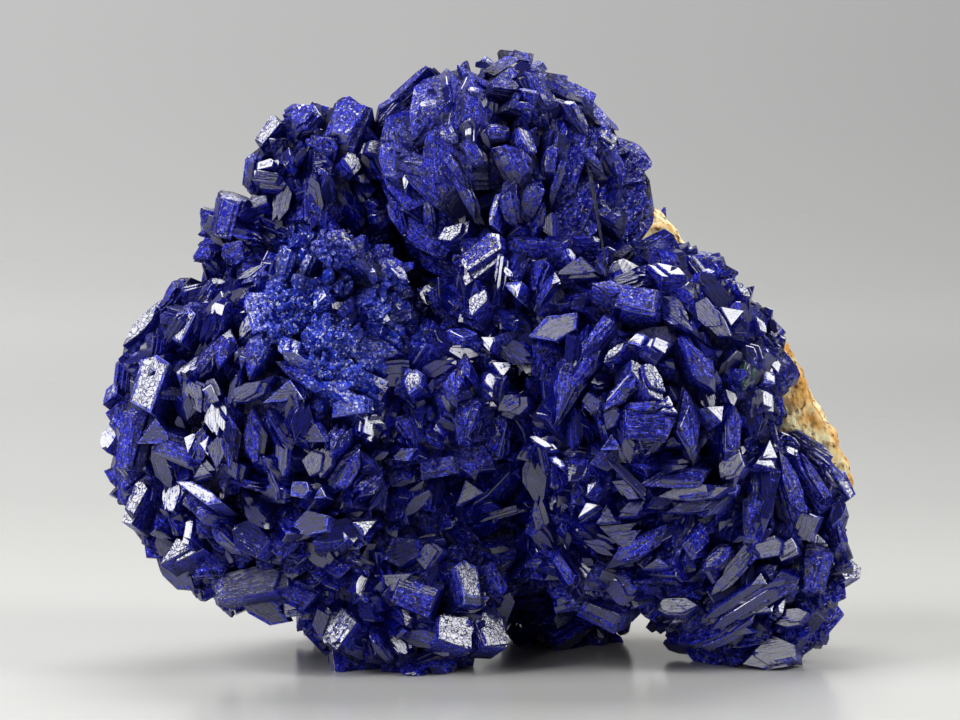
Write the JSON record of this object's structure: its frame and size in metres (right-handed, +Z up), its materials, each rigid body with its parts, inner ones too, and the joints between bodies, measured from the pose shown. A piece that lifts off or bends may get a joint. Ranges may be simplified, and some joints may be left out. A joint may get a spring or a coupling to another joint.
{
  "type": "azurite specimen",
  "caption": "Natural mineral specimen: deep blue rosettes of bladed azurite crystals grown together on a lump of yellow limonite, standing free on its lowest crystals.",
  "frame": {"origin": "on the resting surface, under the middle of the specimen's bounding box", "axes": "+Z up, +X to the right across the show side, which faces -Y; the rock is at the back, on +Y"},
  "size_m": [0.0557, 0.0319, 0.0449],
  "materials": {
    "azurite": "glassy deep blue crystal faces, duller and powdery light blue where bruised",
    "limonite": "rough earthy ochre yellow rock with rusty brown stains"
  },
  "bodies": {
    "root": {"azurite_rosettes": "azurite", "limonite_rock": "limonite"}
  },
  "joints": []
}
